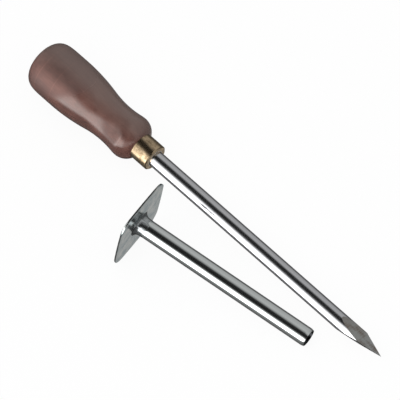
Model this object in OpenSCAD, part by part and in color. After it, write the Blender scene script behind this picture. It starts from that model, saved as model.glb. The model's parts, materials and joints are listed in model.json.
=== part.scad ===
// Trocar for cattle with its cannula taken off, both lying on a level surface.
// The trocar is a steel rod with a three-sided point in a turned wooden handle with a brass ferrule.
// The cannula is a thin steel tube soldered into a plate, and slides over the rod in use.
// Millimetres. +X runs from the handle to the point and +Z is up.
// The origin is on the surface, under the middle of the whole pair.

/* [Rod] */
// Length of the rod from the ferrule to the point
rod_length = 200; // [150:1:250]
// Diameter of the rod
rod_d = 11; // [8:0.1:13]
// Length of each of the three facets ground on the point
facet_length = 35; // [24:1:50]
// Turn of the point about the rod, where 0 lays one facet level
point_turn = 7.5; // [0:0.5:30]
// Diameter of the tang inside the handle
tang_d = 7; // [5:0.1:8]
// Width across the two flats of the tang
tang_flats = 5.6; // [4:0.1:6.5]
// Length of the tang
tang_length = 58; // [40:1:70]
// Length of the lead on the end of the tang
tang_lead = 3; // [1:0.1:5]
// Step from the rod up to the collar that is seated in the ferrule's end wall
collar_step = 0.3; // [0.15:0.05:0.5]

/* [Ferrule] */
// Outside diameter of the ferrule
ferrule_d = 18; // [16.8:0.1:22]
// Length of the ferrule
ferrule_length = 13; // [10:0.1:18]
// Thickness of the ferrule's side wall
ferrule_wall = 1.3; // [0.8:0.05:1.6]
// Thickness of the ferrule's end wall
ferrule_end = 2; // [1:0.1:3]
// Bevel around the ferrule's end
ferrule_bevel = 0.7; // [0.2:0.05:0.9]

/* [Handle] */
// Length of the wood that shows, from the butt to the ferrule
handle_length = 89.6; // [80:0.1:110]
// Diameter at the belly, the widest place
belly_d = 35.9; // [31:0.1:42]
// Distance from the butt to the belly
belly_at = 25.7; // [18:0.1:34]
// How square the butt is: 2 makes an ellipse and more makes it squarer
butt_power = 6.5; // [3:0.1:9]
// Diameter at the waist
waist_d = 27.6; // [22:0.1:29]
// Distance from the butt to the waist
waist_at = 66.8; // [55:0.1:69]
// Share of the slope from belly to waist that is convex
belly_share = 0.667; // [0.4:0.01:0.8]
// Diameter at the swelling next to the ferrule
neck_d = 29.7; // [29.2:0.1:34]
// Radius of the shoulder between the swelling and the ferrule
shoulder_r = 10.4; // [7:0.1:12]

/* [Cannula] */
// Length of the cannula from the outer face of its plate to its far end
cannula_length = 130.7; // [100:0.1:180]
// Thickness of the tube's wall
tube_wall = 0.65; // [0.4:0.05:1.2]
// Length over which the far end of the tube is drawn in
end_draw = 2.5; // [1:0.1:5]
// Thickness of the wall that is left at the far end
end_lip = 0.2; // [0.1:0.05:0.35]
// Bevel inside the mouth of the tube
mouth_bevel = 0.3; // [0.1:0.05:0.35]
// Width of the plate
plate_w = 47; // [38:0.1:54]
// Height of the plate
plate_h = 50.9; // [40:0.1:58]
// Thickness of the plate
plate_t = 1.4; // [0.8:0.1:3]
// Radius of the plate's corners
plate_corner = 10.4; // [4:0.1:14]
// Rise of each side of the plate between its corners
plate_bulge = 1.1; // [0.5:0.1:2.5]
// Reach of the solder over the plate
solder_reach = 3.4; // [2:0.1:6]
// Run of the solder along the tube
solder_run = 8; // [4:0.1:14]
// Thickness of the solder where it runs out on the tube
solder_lip = 0.15; // [0.1:0.05:0.4]
// How hollow the solder is: 1 makes a straight slope and more makes it hollower
solder_power = 2.4; // [1.6:0.1:3.2]

/* [Fits] */
// Radial clearance between the rod and the cannula
bore_clearance = 0.05; // [0.02:0.01:0.1]
// Radial clearance of the parts that are driven or soldered together
seat_clearance = 0.05; // [0.02:0.01:0.1]

/* [Layout] */
// Angle of the cannula to the trocar, seen from above
cannula_turn = 10.7; // [4:0.1:20]
// Distance of the cannula's plate beyond the ferrule, along the trocar
cannula_ahead = 31.9; // [15:0.1:60]
// Distance of the cannula's plate from the trocar's axis, to the side
cannula_aside = 46.8; // [44:0.1:80]

/* [Hidden] */
$fn = 96;

curve_steps = 14;
side_steps = 4;
corner_steps = 12;
end_steps = 8;
facet_count = 3;
rod_r = rod_d / 2;
collar_r = rod_r + collar_step;
facet_angle = atan2(rod_r, facet_length);
// Neighbouring facets meet the rod's surface on the ridge where they stand half a radius off the axis
ridge_length = facet_length * cos(180 / facet_count);

ferrule_r = ferrule_d / 2;
cup_r = ferrule_r - ferrule_wall;
tenon_r = cup_r - seat_clearance;
tenon_end = -ferrule_end;
tang_end = tenon_end - tang_length;
tang_hole_end = tang_end - tang_lead / 2;

// Stations along the trocar, measured from the ferrule's end
butt_x = -(ferrule_length + handle_length);
belly_x = butt_x + belly_at;
waist_x = butt_x + waist_at;
belly_r = belly_d / 2;
waist_r = waist_d / 2;
neck_r = neck_d / 2;
shoulder_depth = sqrt(pow(shoulder_r, 2) - pow(shoulder_r - neck_r + ferrule_r, 2));
neck_x = -ferrule_length - shoulder_depth;
// Share of the slope from waist to neck that is hollow
neck_share = 0.75;

bore_r = rod_r + bore_clearance;
tube_r = bore_r + tube_wall;
end_drop = tube_wall - end_lip;
end_arc_r = (pow(end_draw, 2) + pow(end_drop, 2)) / (2 * end_drop);
half_w = plate_w / 2;
half_h = plate_h / 2;
side_arc_r = (pow(half_h, 2) + pow(plate_bulge, 2)) / (2 * plate_bulge);
top_arc_r = (pow(half_w, 2) + pow(plate_bulge, 2)) / (2 * plate_bulge);
side_centre = [half_w - side_arc_r, 0];
top_centre = [0, half_h - top_arc_r];

// Lumps of the solder: angle round the tube, radius and height as shares of the reach, share of the run
solder_lumps = [
    [12, 0.35, 0.5, 0.02],
    [74, 0.48, 0.42, 0.04],
    [128, 0.38, 0.6, 0],
    [196, 0.45, 0.4, 0.03],
    [248, 0.33, 0.66, 0],
    [305, 0.52, 0.3, 0.1]
];

// Angle t for which a sin t + b cos t = c
function lean(a, b, c) = asin(c / norm([a, b])) - atan2(b, a);

// The trocar rests on its belly and on the ridge under its point
belly_arc_r = belly_share * arc_sum(waist_at - belly_at, belly_r - waist_r);
ridge_x = rod_length - ridge_length;
trocar_tilt = lean(ridge_x - belly_x, belly_arc_r - belly_r + rod_r, belly_arc_r);
trocar_z = ridge_x * sin(trocar_tilt) + rod_r * cos(trocar_tilt);

// The cannula rests on the lower edge of its plate and on the drawn-in end of its tube
cannula_tilt = lean(cannula_length - end_draw - plate_t, tube_r - end_arc_r - half_h, -end_arc_r);
cannula_z = plate_t * sin(cannula_tilt) + half_h * cos(cannula_tilt);

// Middle of the pair, seen from above and measured from the ferrule's end
middle_x = (rod_length + butt_x) * cos(trocar_tilt) / 2;
middle_y = (belly_r - cannula_aside - half_w * cos(cannula_turn)) / 2;

// Sum of the radii of two equal-tangent arcs that make a step of height drop over a length run
function arc_sum(run, drop) = (pow(run, 2) + pow(drop, 2)) / (2 * abs(drop));

// Radius of an S-shaped slope at x, from r0 at x0 to r1 at x1, whose first arc takes this share
function slope_r(x, x0, r0, x1, r1, share) =
    let (
        total = arc_sum(x1 - x0, r1 - r0),
        way = sign(r1 - r0),
        first = share * total,
        last = (1 - share) * total,
        turn = x0 + share * (x1 - x0)
    )
    x < turn
        ? r0 + way * (first - sqrt(pow(first, 2) - pow(x - x0, 2)))
        : r1 - way * (last - sqrt(pow(last, 2) - pow(x1 - x, 2)));

// Points of a slope, without its first one
function slope(x0, r0, x1, r1, share) = [
    for (i = [1 : curve_steps])
        let (x = x0 + (x1 - x0) * i / curve_steps)
        [slope_r(x, x0, r0, x1, r1, share), x]
];

// Points of an arc round a centre
function arc(centre, r, from, to, steps) = [
    for (i = [0 : steps])
        let (a = from + (to - from) * i / steps)
        centre + r * [cos(a), sin(a)]
];

// Points without the first one
function rest(points) = [for (i = [1 : len(points) - 1]) points[i]];

// Where two circles cross, on the left of the way from the first to the second
function crossing(c1, r1, c2, r2) =
    let (
        gap = norm(c2 - c1),
        way = (c2 - c1) / gap,
        along = (pow(r1, 2) - pow(r2, 2) + pow(gap, 2)) / (2 * gap),
        off = sqrt(pow(r1, 2) - pow(along, 2))
    )
    c1 + along * way + off * [-way[1], way[0]];

// Radius of the butt at x
function butt_r(x) = belly_r * sqrt(1 - pow((belly_x - x) / belly_at, butt_power));

// The butt's points crowd towards its centre, where it curves most
function butt_points() = [
    for (i = [0 : 2 * curve_steps])
        let (x = butt_x + belly_at * (1 - cos(90 * i / (2 * curve_steps))))
        [i == 0 ? 0 : butt_r(x), x]
];

function shoulder_points() =
    arc([neck_r - shoulder_r, neck_x], shoulder_r, 0, asin(shoulder_depth / shoulder_r), curve_steps);

// First quarter of the plate's outline: side, corner and top
function plate_quarter() =
    let (
        centre = crossing(side_centre, side_arc_r - plate_corner, top_centre, top_arc_r - plate_corner),
        a1 = atan2(centre[1] - side_centre[1], centre[0] - side_centre[0]),
        a2 = atan2(centre[1] - top_centre[1], centre[0] - top_centre[0]),
        side = arc(side_centre, side_arc_r, 0, a1, side_steps),
        corner = arc(centre, plate_corner, a1, a2, corner_steps),
        top = arc(top_centre, top_arc_r, a2, 90, side_steps)
    )
    concat(side, rest(corner), rest(top));

function plate_outline() =
    let (q = plate_quarter(), n = len(q))
    [
        for (k = [0 : 3])
            for (i = [0 : n - 2])
                let (p = k % 2 == 0 ? q[i] : q[n - 1 - i])
                [p[0] * (k == 0 || k == 3 ? 1 : -1), p[1] * (k < 2 ? 1 : -1)]
    ];

// Turns a shape that stands on Z so that it lies along X
module along_x() {
    rotate([0, 90, 0]) children();
}

module place_trocar() {
    translate([-middle_x, -middle_y, trocar_z]) rotate([0, trocar_tilt, 0]) children();
}

module place_cannula() {
    translate([cannula_ahead - middle_x, -cannula_aside - middle_y, cannula_z])
        rotate([0, cannula_tilt, cannula_turn]) children();
}

module handle_outline() {
    polygon(concat(
        butt_points(),
        slope(belly_x, belly_r, waist_x, waist_r, belly_share),
        slope(waist_x, waist_r, neck_x, neck_r, neck_share),
        rest(shoulder_points()),
        [[tenon_r, -ferrule_length], [tenon_r, tenon_end], [0, tenon_end]]
    ));
}

module handle() {
    color("#6b4e47") place_trocar() along_x()
        difference() {
            rotate_extrude() handle_outline();
            translate([0, 0, tang_hole_end])
                cylinder(h = tenon_end - tang_hole_end + 1, r = tang_d / 2 + seat_clearance);
        }
}

module ferrule() {
    color("#b8975a") place_trocar() along_x()
        difference() {
            union() {
                translate([0, 0, -ferrule_length])
                    cylinder(h = ferrule_length - ferrule_bevel, r = ferrule_r);
                translate([0, 0, -ferrule_bevel])
                    cylinder(h = ferrule_bevel, r1 = ferrule_r, r2 = ferrule_r - ferrule_bevel);
            }
            translate([0, 0, -ferrule_length - 1])
                cylinder(h = ferrule_length + 1 - ferrule_end, r = cup_r);
            translate([0, 0, -ferrule_length])
                cylinder(h = ferrule_length + 1, r = collar_r + seat_clearance);
        }
}

// Takes off everything above one facet, whose plane runs down to the point
module facet_cut() {
    translate([rod_length, 0, 0]) rotate([0, facet_angle, 0])
        translate([-2 * facet_length, -rod_d, 0])
            cube([3 * facet_length, 2 * rod_d, rod_d]);
}

module tang() {
    intersection() {
        along_x() translate([0, 0, tang_end]) union() {
            cylinder(h = tang_lead, r1 = tang_flats / 2 - seat_clearance, r2 = tang_d / 2);
            translate([0, 0, tang_lead]) cylinder(h = tang_length - tang_lead, r = tang_d / 2);
        }
        translate([tang_end, -tang_d, -tang_flats / 2])
            cube([tang_length, 2 * tang_d, tang_flats]);
    }
}

module trocar_rod() {
    color("#c6c9cc") place_trocar() union() {
        difference() {
            along_x() cylinder(h = rod_length, r = rod_r);
            for (k = [0 : facet_count - 1]) rotate([k * 360 / facet_count - point_turn, 0, 0]) facet_cut();
        }
        along_x() translate([0, 0, tenon_end]) cylinder(h = ferrule_end, r = collar_r);
        tang();
    }
}

module tube_outline() {
    polygon(concat(
        [[bore_r, cannula_length], [bore_r, mouth_bevel], [bore_r + mouth_bevel, 0], [tube_r, 0]],
        arc([tube_r - end_arc_r, cannula_length - end_draw], end_arc_r, 0,
            asin(end_draw / end_arc_r), end_steps)
    ));
}

module cannula_tube() {
    color("#cdd0d3") place_cannula() along_x() rotate_extrude() tube_outline();
}

module cannula_flange() {
    color("#9aa2a6") place_cannula()
        difference() {
            rotate([90, 0, 90]) linear_extrude(plate_t) polygon(plate_outline());
            along_x() translate([0, 0, -1]) cylinder(h = plate_t + 2, r = tube_r + seat_clearance);
        }
}

// Concave fillet that runs out thinly along the tube
module fillet_outline() {
    inner = tube_r + seat_clearance;
    polygon(concat(
        [[inner, plate_t + solder_run], [inner, plate_t]],
        [
            for (i = [0 : curve_steps])
                let (s = i / curve_steps)
                [
                    inner + solder_lip + (solder_reach - solder_lip) * pow(1 - s, solder_power),
                    plate_t + s * solder_run
                ]
        ]
    ));
}

module solder_fillet() {
    room = 4 * (tube_r + solder_reach);
    color("#a3a7a8") place_cannula()
        difference() {
            union() {
                along_x() rotate_extrude() fillet_outline();
                for (l = solder_lumps)
                    rotate([l[0], 0, 0])
                        translate([plate_t + l[3] * solder_run, 0, tube_r + l[2] * solder_reach])
                            sphere(r = l[1] * solder_reach);
            }
            along_x() cylinder(h = plate_t + 2 * solder_run, r = tube_r + seat_clearance);
            translate([plate_t - room, -room / 2, -room / 2]) cube([room, room, room]);
        }
}

handle();
ferrule();
trocar_rod();
cannula_tube();
cannula_flange();
solder_fillet();
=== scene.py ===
import json
import math

import bmesh
import bpy
from bpy.props import FloatProperty, FloatVectorProperty, PointerProperty
from mathutils import Matrix, Vector, noise


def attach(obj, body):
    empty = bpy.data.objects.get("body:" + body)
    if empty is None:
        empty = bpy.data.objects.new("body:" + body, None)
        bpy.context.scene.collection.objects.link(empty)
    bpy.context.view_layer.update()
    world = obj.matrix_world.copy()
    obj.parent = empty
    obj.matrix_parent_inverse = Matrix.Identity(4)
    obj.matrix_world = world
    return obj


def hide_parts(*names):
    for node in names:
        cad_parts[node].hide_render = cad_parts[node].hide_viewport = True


bl_info = {
    "name": "Cattle trocar and cannula",
    "version": (1, 0, 0),
    "blender": (4, 5, 0),
    "location": "3D View > Sidebar > Trocar",
    "description": "Makes a cattle trocar with its cannula taken off, and a small studio around them",
    "category": "Object",
}

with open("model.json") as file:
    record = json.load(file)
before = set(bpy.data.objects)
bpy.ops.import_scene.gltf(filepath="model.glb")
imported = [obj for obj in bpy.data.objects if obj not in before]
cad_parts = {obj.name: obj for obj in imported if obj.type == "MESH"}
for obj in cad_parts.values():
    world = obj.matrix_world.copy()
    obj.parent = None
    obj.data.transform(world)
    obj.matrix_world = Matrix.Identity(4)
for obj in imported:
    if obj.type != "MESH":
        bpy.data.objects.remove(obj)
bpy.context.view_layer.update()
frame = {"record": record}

MM = 0.001
# Steps round a turned piece, and along each of the handle's curves
SIDES = 160
STEPS = 26
# Angle past which two faces meet in a crisp edge
CRISP = math.radians(28)
# In metres: points nearer than the first are one, edges shorter than the second are dropped, and what lies
# nearer than the third to a seam or a plane is on it
SAME_POINT = 1e-7
NO_EDGE = 1e-8
CLOSE = 1e-6
# Steps of a worn edge
WEAR_STEPS = 5
# Play between the tube and what is soldered to it
SOLDER_GAP = 0.05 * MM

MATH = "ShaderNodeMath"
VECTOR = "ShaderNodeVectorMath"
NOISE = "ShaderNodeTexNoise"
RANGE = "ShaderNodeMapRange"
RAMP = "ShaderNodeValToRGB"
BUMP = "ShaderNodeBump"
APART = "ShaderNodeSeparateXYZ"


# ---- Values and places ----

def linear(code):
    """Linear colour of an sRGB hex value"""
    parts = [int(code[i:i + 2], 16) / 255 for i in (1, 3, 5)]
    return tuple(c / 12.92 if c <= 0.04045 else ((c + 0.055) / 1.055) ** 2.4 for c in parts) + (1.0,)


def grey(level):
    """Linear colour of a grey, from its sRGB level of 0 to 255"""
    return linear("#" + 3 * f"{level:02x}")


def mount(name):
    """Point, axis and length of one of the frame's mounts"""
    found = next(m for m in frame["record"]["mounts"] if m["name"] == name)
    return Vector(found["pos_m"]), Vector(found["axis"]), found["dims"]["length_mm"] * MM


def lay_along(point, along):
    """Matrix of a piece that lies with its X along a direction and its Y level"""
    side = Vector((0, 0, 1)).cross(along).normalized()
    turn = Matrix((along, side, along.cross(side))).transposed().to_4x4()
    return Matrix.Translation(point) @ turn


def trocar_place():
    """Place of the trocar: the origin is the middle of the ferrule's end, and X runs to the point"""
    middle, along, length = mount("trocar_rod")
    return lay_along(middle - along * length / 2, along.normalized())


def cannula_place():
    """Place of the cannula: the origin is the middle of the plate's outer face, and X runs to its far end"""
    middle, out, length = mount("cannula_bore")
    bevel = bpy.context.scene.cannula_sizes.mouth_bevel
    return lay_along(middle + out * (length / 2 + bevel), -out.normalized())


def size(name, description, value, low=0.0):
    """A length, given in millimetres"""
    return FloatProperty(name=name, description=description, default=value * MM, min=low * MM,
                         precision=5, unit="LENGTH", subtype="DISTANCE")


def share(name, description, value, low=0.0, high=1.0):
    """A plain number"""
    return FloatProperty(name=name, description=description, default=value, min=low, max=high)


def colour(name, description, code):
    """A colour, given as an sRGB hex value"""
    return FloatVectorProperty(name=name, description=description, default=linear(code), size=4,
                               min=0.0, max=1.0, subtype="COLOR")


class TrocarSizes(bpy.types.PropertyGroup):
    """Sizes of the rod, the ferrule and the handle"""
    rod_length: size("Rod length", "From the ferrule to the point", 200)
    rod_diameter: size("Rod diameter", "Across the round part of the rod", 11)
    facet_length: size("Facet length", "Length of each facet ground on the point", 35)
    point_turn: FloatProperty(name="Point turn", default=math.radians(7.5), subtype="ANGLE",
                              description="Turn of the point, where 0 lays one facet level")
    tang_diameter: size("Tang diameter", "Across the tang inside the handle", 7)
    tang_flats: size("Tang flats", "Across the two flats of the tang", 5.6)
    tang_length: size("Tang length", "Length of the tang inside the handle", 58)
    tang_lead: size("Tang lead", "Length of the lead on the tang's end", 3)
    collar_step: size("Collar step", "Step from the rod up to the collar in the ferrule's end wall", 0.3)
    ferrule_diameter: size("Ferrule diameter", "Across the outside of the ferrule", 18)
    ferrule_length: size("Ferrule length", "Length of the ferrule", 13)
    ferrule_wall: size("Ferrule wall", "Thickness of the ferrule's side wall", 1.3)
    ferrule_end: size("Ferrule end", "Thickness of the ferrule's end wall", 2)
    ferrule_bevel: size("Ferrule bevel", "Bevel around the ferrule's end", 0.7)
    handle_length: size("Handle length", "From the butt to the ferrule", 89.6)
    belly_diameter: size("Belly diameter", "Across the widest place of the handle", 35.9)
    belly_distance: size("Belly distance", "From the butt to the belly", 25.7)
    butt_power: share("Butt squareness", "2 makes an elliptical butt and more makes it squarer", 6.5, 2, 12)
    waist_diameter: size("Waist diameter", "Across the waist of the handle", 27.6)
    waist_distance: size("Waist distance", "From the butt to the waist", 66.8)
    belly_share: share("Belly share", "Share of the slope from belly to waist that is rounded", 0.667)
    neck_diameter: size("Neck diameter", "Across the swelling next to the ferrule", 29.7)
    neck_share: share("Neck share", "Share of the slope from waist to neck that is hollow", 0.75)
    shoulder_radius: size("Shoulder radius", "Rounding from the swelling down to the ferrule", 10.4)
    seat_clearance: size("Seat clearance", "Play between the parts that are driven together", 0.05)


class CannulaSizes(bpy.types.PropertyGroup):
    """Sizes of the tube, its plate and the solder"""
    tube_length: size("Tube length", "From the plate's outer face to the far end", 130.7)
    bore_diameter: size("Bore", "Across the inside of the tube", 11.1)
    tube_wall: size("Tube wall", "Thickness of the tube's wall", 0.65)
    end_draw: size("End length", "Length over which the far end is drawn in", 2.5)
    end_lip: size("End lip", "Wall left at the far end", 0.2)
    mouth_bevel: size("Mouth bevel", "Bevel inside the mouth", 0.3)
    plate_width: size("Plate width", "Width of the plate", 47)
    plate_height: size("Plate height", "Height of the plate", 50.9)
    plate_thickness: size("Plate thickness", "Thickness of the plate", 1.4)
    plate_corner: size("Plate corner", "Radius of the plate's corners", 10.4)
    plate_bulge: size("Plate bulge", "Rise of each side between its corners", 1.1)
    plate_edge: size("Plate edge", "Rounding of the inner edge of the plate", 0.1)
    plate_roll: size("Plate roll", "Rounding of the outer edge along the thickness", 1.25)
    plate_roll_in: size("Plate roll, inwards", "Rounding of the outer edge over the face", 0.8)
    solder_reach: size("Solder reach", "Reach of the solder over the plate", 3.4)
    solder_run: size("Solder run", "Run of the solder along the tube", 8)
    solder_lip: size("Solder lip", "Thickness of the solder where it runs out", 0.15)
    solder_power: share("Solder hollow", "1 makes a straight slope and more makes it hollower", 5, 1, 8)


class Finishes(bpy.types.PropertyGroup):
    """Colours of the finishes"""
    wood_light: colour("Wood, light", "Early wood and rubbed places", "#8a5f54")
    wood_mid: colour("Wood, middle", "Most of the wood", "#6c463e")
    wood_dark: colour("Wood, dark", "Late wood and pores", "#583b35")
    # Grey of the handle's far side and top: a painted reflection of grey surroundings
    wood_painted_reflection: colour("Wood, greyed", "Wood on the side that has greyed", "#675853")
    brass_bright: colour("Brass, bright", "Rubbed brass", "#dcc3a0")
    brass_dull: colour("Brass, dull", "Tarnished brass", "#988468")
    steel: colour("Steel", "Polished steel", "#e4e5e8")
    steel_ground: colour("Ground steel", "Facets of the point", "#b4b6b4")
    steel_stain: colour("Stained steel", "Brown stain where the facets begin", "#8f857c")
    plating: colour("Plating", "Bright plating of the tube", "#f2f7f6")
    plating_satin: colour("Satin plating, clean", "Clean plating of the plate", "#dcdfda")
    plating_worn: colour("Satin plating, dull", "Dull patches on the plate", "#9eb0b4")
    # Painted shade inside the tube, and a painted dark reflection on the lip of its far end
    bore: colour("Bore", "Inside of the tube, which stays bare and dark", "#2c2d2f")
    solder: colour("Solder", "Run solder under the plating", "#d6dbdc")
    solder_dull: colour("Solder, dull", "Dull places on the solder", "#a2a8aa")


class Studio(bpy.types.PropertyGroup):
    """Camera, floor and lamps"""
    azimuth: FloatProperty(name="Azimuth", default=math.radians(45.35), subtype="ANGLE",
                           description="Direction from which the camera looks")
    elevation: FloatProperty(name="Elevation", default=math.radians(56), subtype="ANGLE",
                             description="Height of the camera above the level")
    lens: FloatProperty(name="Lens", default=1500, min=20, unit="CAMERA",
                        description="Focal length, long enough to keep parallel lines parallel")
    view_width: size("View width", "Width of the picture at the object", 250)
    aim_right: size("Aim, right", "Middle of the picture, to the right of the ferrule", 27.94)
    aim_down: size("Aim, down", "Middle of the picture, below the ferrule", 25.88)
    floor: colour("Floor", "Pale floor", "#f6f6f6")
    even: share("Even light", "Level of the light from all sides, where 1 is white", 0.85, high=10)
    softbox: share("Softbox", "Level of the softbox, where 1 is white", 1.3, high=10)
    window: share("Window", "How much the window adds in the reflections, where 1 is white", 2.1, high=10)


# ---- Nodes ----

def add(tree, kind, inputs=(), stops=(), **settings):
    """Adds one node with its settings, values and links, and gives it back.

    The inputs are a row of values for its first sockets, or values by the name or number of a socket.
    A node given as a value is linked by its first output."""
    node = tree.nodes.new(kind)
    for key, value in settings.items():
        setattr(node, key, value)
    for key, value in inputs.items() if isinstance(inputs, dict) else enumerate(inputs):
        if isinstance(value, bpy.types.Node):
            value = value.outputs[0]
        if isinstance(value, bpy.types.NodeSocket):
            tree.links.new(value, node.inputs[key])
        else:
            node.inputs[key].default_value = value
    if stops:
        ramp = node.color_ramp.elements
        for element, (at, shade) in ((ramp[0], stops[0]), (ramp[1], stops[-1])):
            element.position = at
            element.color = shade
        for at, shade in stops[1:-1]:
            ramp.new(at).color = shade
    return node


def shape_tree(name, inputs):
    """An empty Geometry Nodes tree with a mesh going in and out, and named inputs for its sizes"""
    tree = bpy.data.node_groups.new(name, "GeometryNodeTree")
    tree.interface.new_socket("Geometry", in_out="OUTPUT", socket_type="NodeSocketGeometry")
    tree.interface.new_socket("Geometry", in_out="INPUT", socket_type="NodeSocketGeometry")
    for label, kind in inputs:
        tree.interface.new_socket(label, in_out="INPUT", socket_type=kind)
    return tree, add(tree, "NodeGroupInput").outputs


def end_tree(tree, geometry, material):
    """Closes a tree: one mesh, smooth, with its material"""
    real = add(tree, "GeometryNodeRealizeInstances", (geometry,))
    smooth = add(tree, "GeometryNodeSetShadeSmooth", (real,))
    done = add(tree, "GeometryNodeSetMaterial", {"Geometry": smooth, "Material": material})
    add(tree, "NodeGroupOutput", (done,))


def revolve(tree, rings, sides, station):
    """Lays a grid round the X axis. station(ring number) gives the distance and the radius of a ring"""
    around = add(tree, MATH, (sides, 1.0), operation="ADD")
    grid = add(tree, "GeometryNodeMeshGrid", {"Size X": 1.0, "Size Y": 1.0, "Vertices X": rings,
                                              "Vertices Y": around})
    place = add(tree, APART, (add(tree, "GeometryNodeInputPosition"),))
    along = add(tree, MATH, (place.outputs["X"], 0.5), operation="ADD")
    last = add(tree, MATH, (rings, 1.0), operation="SUBTRACT")
    number = add(tree, MATH, (along, last), operation="MULTIPLY")
    distance, radius = station(add(tree, MATH, (number,), operation="ROUND"))
    angle = add(tree, MATH, (place.outputs["Y"], 2 * math.pi), operation="MULTIPLY")
    cosine = add(tree, MATH, (angle,), operation="COSINE")
    sine = add(tree, MATH, (angle,), operation="SINE")
    y = add(tree, MATH, (radius, cosine), operation="MULTIPLY")
    z = add(tree, MATH, (radius, sine), operation="MULTIPLY")
    point = add(tree, "ShaderNodeCombineXYZ", (distance, y, z))
    laid = add(tree, "GeometryNodeSetPosition", {"Geometry": grid, "Position": point})
    # Closes the seam and the poles
    return add(tree, "GeometryNodeMergeByDistance", {"Geometry": laid, "Distance": CLOSE})


def outline_tree():
    """Turns a piece from its outline: a line of points whose X is the distance and Y the radius"""
    tree, put = shape_tree("turned_from_outline", [("Sides", "NodeSocketInt"),
                                                   ("Material", "NodeSocketMaterial")])
    count = add(tree, "GeometryNodeAttributeDomainSize", (put["Geometry"],))

    def station(number):
        spot = add(tree, "GeometryNodeSampleIndex", {
            "Geometry": put["Geometry"], "Value": add(tree, "GeometryNodeInputPosition"), "Index": number,
        }, data_type="FLOAT_VECTOR", domain="POINT")
        parts = add(tree, APART, (spot,)).outputs
        return parts["X"], parts["Y"]

    end_tree(tree, revolve(tree, count.outputs["Point Count"], put["Sides"], station), put["Material"])
    return tree


def slope_group():
    """Radius on a slope of two arcs that meet without a corner, the first of which takes a share of it"""
    tree = bpy.data.node_groups.new("slope_of_two_arcs", "GeometryNodeTree")
    for label in ("Distance", "Radius"):
        tree.interface.new_socket(label, in_out="OUTPUT", socket_type="NodeSocketFloat")
    for label in ("Part", "Start Distance", "Start Radius", "End Distance", "End Radius", "Share"):
        tree.interface.new_socket(label, in_out="INPUT", socket_type="NodeSocketFloat")
    put = add(tree, "NodeGroupInput").outputs
    run = add(tree, MATH, (put["End Distance"], put["Start Distance"]), operation="SUBTRACT")
    rise = add(tree, MATH, (put["End Radius"], put["Start Radius"]), operation="SUBTRACT")
    way = add(tree, MATH, (rise,), operation="SIGN")
    # Both radii together are (run² + rise²) / (2 rise)
    rise_squared = add(tree, MATH, (rise, rise), operation="MULTIPLY")
    squares = add(tree, MATH, (run, run, rise_squared), operation="MULTIPLY_ADD")
    height = add(tree, MATH, (rise,), operation="ABSOLUTE")
    double = add(tree, MATH, (height, 2.0), operation="MULTIPLY")
    total = add(tree, MATH, (squares, double), operation="DIVIDE")
    first = add(tree, MATH, (total, put["Share"]), operation="MULTIPLY")
    last = add(tree, MATH, (total, first), operation="SUBTRACT")
    gone = add(tree, MATH, (run, put["Part"]), operation="MULTIPLY")
    left = add(tree, MATH, (run, gone), operation="SUBTRACT")
    drops = []
    for radius, reach in ((first, gone), (last, left)):
        # Fall of an arc at a distance from its own end of the slope
        radius_squared = add(tree, MATH, (radius, radius), operation="MULTIPLY")
        reach_squared = add(tree, MATH, (reach, reach), operation="MULTIPLY")
        rest = add(tree, MATH, (radius_squared, reach_squared), operation="SUBTRACT")
        root = add(tree, MATH, (rest,), operation="SQRT")
        fall = add(tree, MATH, (radius, root), operation="SUBTRACT")
        drops.append(add(tree, MATH, (way, fall), operation="MULTIPLY"))
    radius_1 = add(tree, MATH, (put["Start Radius"], drops[0]), operation="ADD")
    radius_2 = add(tree, MATH, (put["End Radius"], drops[1]), operation="SUBTRACT")
    is_first = add(tree, MATH, (put["Part"], put["Share"]), operation="LESS_THAN")
    pick = add(tree, "GeometryNodeSwitch", {"Switch": is_first, "False": radius_2, "True": radius_1},
               input_type="FLOAT")
    distance = add(tree, MATH, (put["Start Distance"], gone), operation="ADD")
    add(tree, "NodeGroupOutput", (distance, pick))
    return tree


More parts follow.
